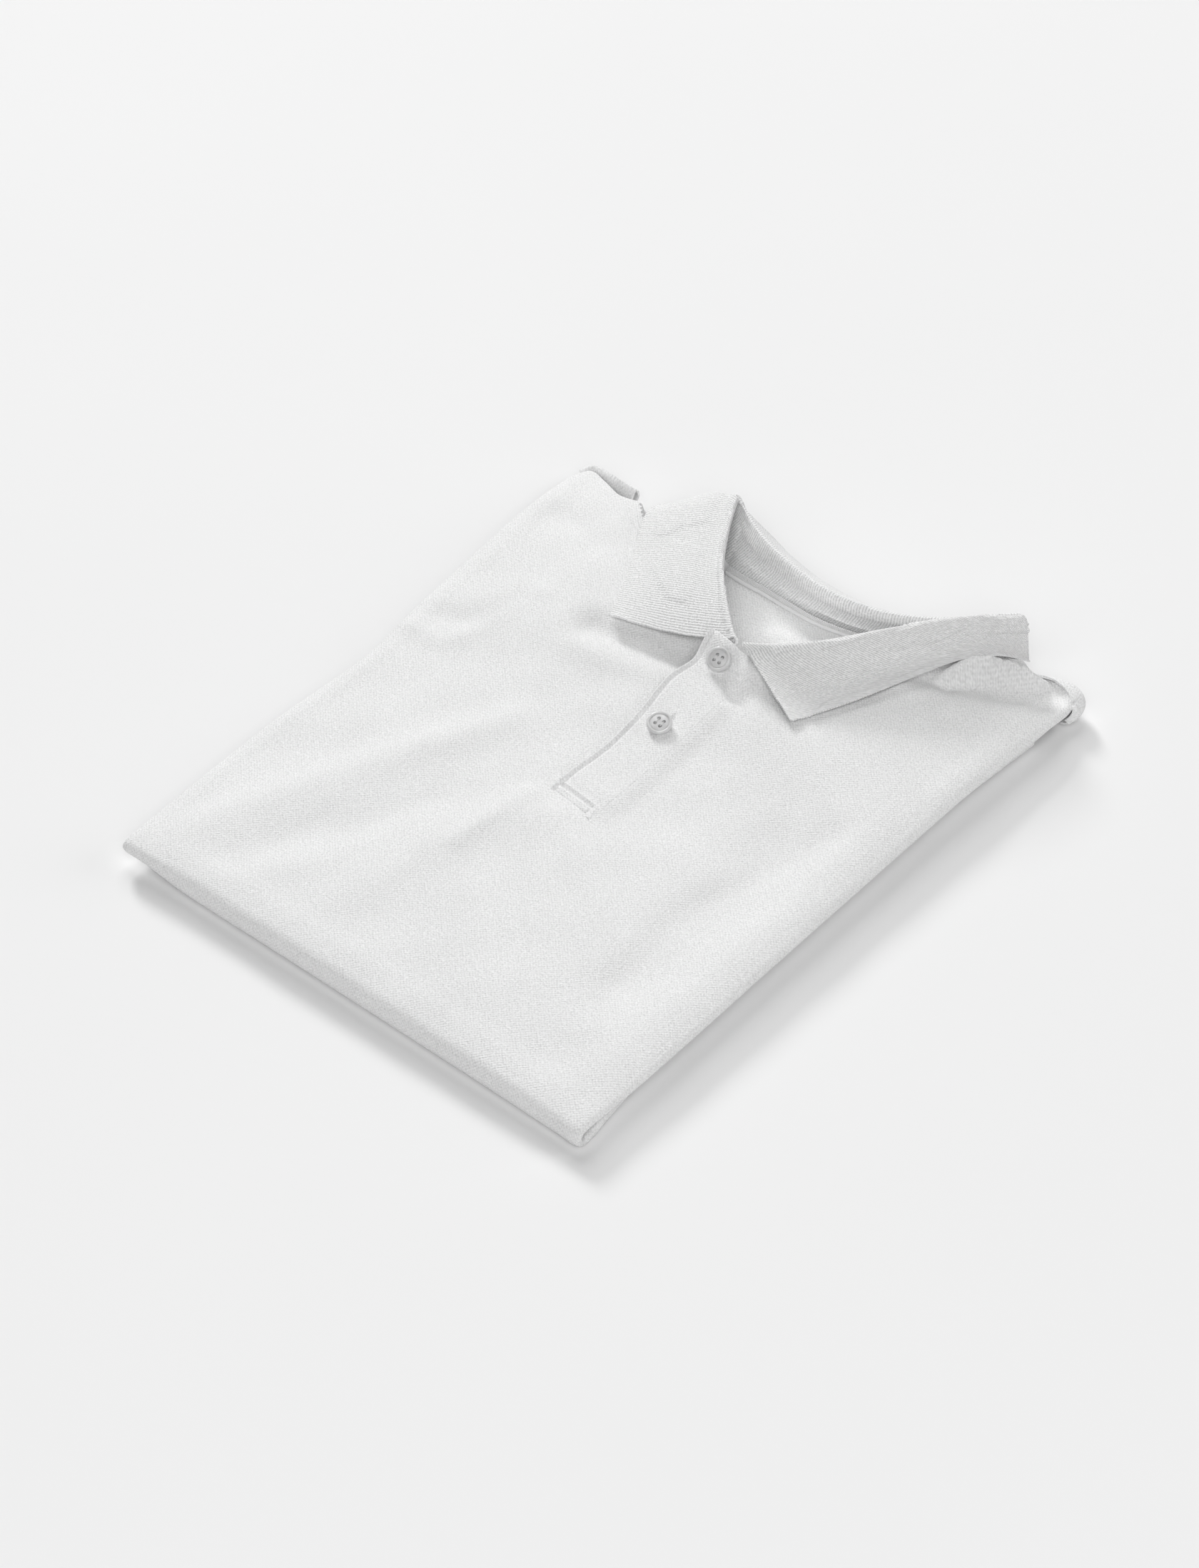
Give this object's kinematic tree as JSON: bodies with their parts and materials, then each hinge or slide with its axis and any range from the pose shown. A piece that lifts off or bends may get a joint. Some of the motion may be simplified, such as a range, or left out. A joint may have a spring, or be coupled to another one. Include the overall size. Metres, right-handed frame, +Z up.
{
  "type": "folded polo shirt",
  "caption": "Short-sleeved polo shirt in white pique, folded face up with its sides and lower half turned under, with a flat-knit collar and a buttoned placket.",
  "frame": {"origin": "centre of the folded shirt's footprint, on the surface it lies on", "axes": "+Z up from the surface, +Y from the bottom fold to the collar, +X towards the wearer's left"},
  "size_m": [0.2916, 0.3698, 0.0473],
  "materials": {
    "pique_cotton": "matte white pique knit",
    "rib_knit": "matte white fine rib knit",
    "neck_tape": "matte white woven tape",
    "button_plastic": "satin pale plastic"
  },
  "bodies": {
    "root": {"front": "pique_cotton", "back": "pique_cotton", "hidden_layers": "pique_cotton", "sleeve_left": "pique_cotton", "sleeve_right": "pique_cotton", "placket": "pique_cotton", "under_placket": "pique_cotton", "collar": "rib_knit", "neck_tape": "neck_tape", "button_1": "button_plastic", "button_2": "button_plastic"}
  },
  "joints": []
}
